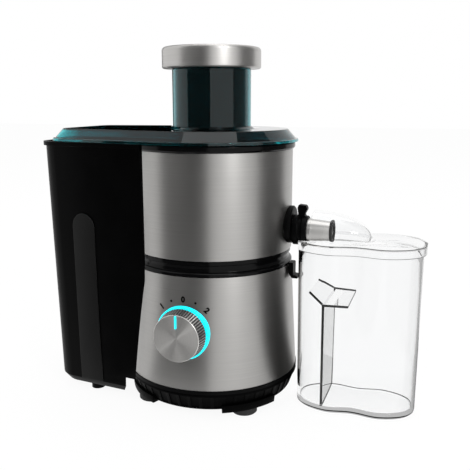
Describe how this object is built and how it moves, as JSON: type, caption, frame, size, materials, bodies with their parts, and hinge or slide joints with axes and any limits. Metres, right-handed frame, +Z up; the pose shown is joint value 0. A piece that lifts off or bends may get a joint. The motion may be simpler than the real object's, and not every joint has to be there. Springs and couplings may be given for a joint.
{
  "type": "centrifugal juicer",
  "caption": "Upright kitchen juicer: steel-clad motor base and bowl, spinning grater basket, tinted lid with feed chute and pusher, black pulp container, spout and clear jug.",
  "frame": {"origin": "centre of the bounding box at the table's height", "axes": "+Z up, -Y to the front where the dial is, +X towards the juice jug, -X towards the pulp container"},
  "size_m": [0.3274, 0.168, 0.3039],
  "materials": {
    "brushed_steel": "brushed",
    "black_housing": "fine satin",
    "gloss_black": "gloss",
    "clear_plastic": "clear polished plastic",
    "teal_plastic": "clear tinted plastic",
    "rubber": "matte",
    "soft_grip": "matte",
    "light": "lit translucent",
    "board": "satin",
    "switch_plastic": "satin",
    "lamination": "stacked sheet",
    "copper": "enamelled wire",
    "zinc": "die cast",
    "bright_steel": "ground",
    "brush_brown": "moulded",
    "screw_steel": "plated",
    "seal": "matte",
    "sieve_steel": "etched",
    "fan_nylon": "moulded"
  },
  "bodies": {
    "base": {"base_shell": "black_housing", "base_sleeve": "brushed_steel", "waist_ring": "gloss_black", "bottom_cover": "black_housing", "rubber_feet": "rubber", "bottom_screws": "screw_steel", "light_ring": "light", "light_board": "board", "rotary_switch": "switch_plastic", "cord_inlet": "rubber", "motor_stator": "lamination", "motor_coils": "copper", "upper_bracket": "zinc", "lower_bracket": "zinc", "upper_bearing": "bright_steel", "lower_bearing": "bright_steel", "brush_holders": "brush_brown", "motor_grommets": "rubber", "motor_screws": "screw_steel", "shaft_seal": "seal", "safety_switch": "switch_plastic", "juice_bowl": "black_housing", "bowl_floor": "black_housing", "bowl_sleeve": "brushed_steel", "bowl_rim": "gloss_black", "spout_boss": "gloss_black", "spout_tube": "brushed_steel", "spout_seal": "seal"},
    "rotor": {"motor_shaft": "bright_steel", "armature": "lamination", "commutator": "copper", "cooling_fan": "fan_nylon", "drive_coupling": "switch_plastic", "basket_hub": "black_housing", "sieve": "sieve_steel", "basket_rim": "black_housing", "grater_disc": "sieve_steel"},
    "lid": {"lid_shell": "teal_plastic", "feed_chute": "teal_plastic"},
    "pusher": {"pusher_body": "gloss_black", "pusher_cap": "brushed_steel"},
    "pulp_bin": {"pulp_container": "black_housing", "pulp_grip": "soft_grip"},
    "jug": {"jug_body": "clear_plastic", "froth_separator": "clear_plastic"},
    "jug_lid": {"jug_lid": "clear_plastic"},
    "dial": {"knob_body": "switch_plastic", "knob_face": "brushed_steel", "knob_pointer": "light", "knob_spindle": "bright_steel"},
    "drip_stop": {"drip_collar": "gloss_black"}
  },
  "joints": [
    {"name": "rotor_spin", "type": "hinge", "parent": "base", "child": "rotor", "pos_m": [-0.02115, 0.00452, 0.04], "axis": [0, 0, 1], "continuous": true},
    {"name": "lid_lift", "type": "slide", "parent": "base", "child": "lid", "axis": [0, 0, 1], "range_m": [0, 0.06]},
    {"name": "pusher_lift", "type": "slide", "parent": "lid", "child": "pusher", "axis": [0, 0, 1], "range_m": [0, 0.09]},
    {"name": "pulp_bin_pull", "type": "slide", "parent": "base", "child": "pulp_bin", "axis": [-1, 0, 0], "range_m": [0, 0.08]},
    {"name": "jug_pull", "type": "slide", "parent": "base", "child": "jug", "axis": [1, 0, 0], "range_m": [0, 0.07]},
    {"name": "jug_lid_lift", "type": "slide", "parent": "jug", "child": "jug_lid", "axis": [0, 0, 1], "range_m": [0, 0.05]},
    {"name": "dial_turn", "type": "hinge", "parent": "base", "child": "dial", "pos_m": [-0.02115, -0.07548, 0.0755], "axis": [0, -1, 0], "range_deg": [-45, 45]},
    {"name": "drip_stop_turn", "type": "hinge", "parent": "base", "child": "drip_stop", "pos_m": [0.05885, 0.00452, 0.152], "axis": [1, 0, 0], "range_deg": [0, 45]}
  ]
}
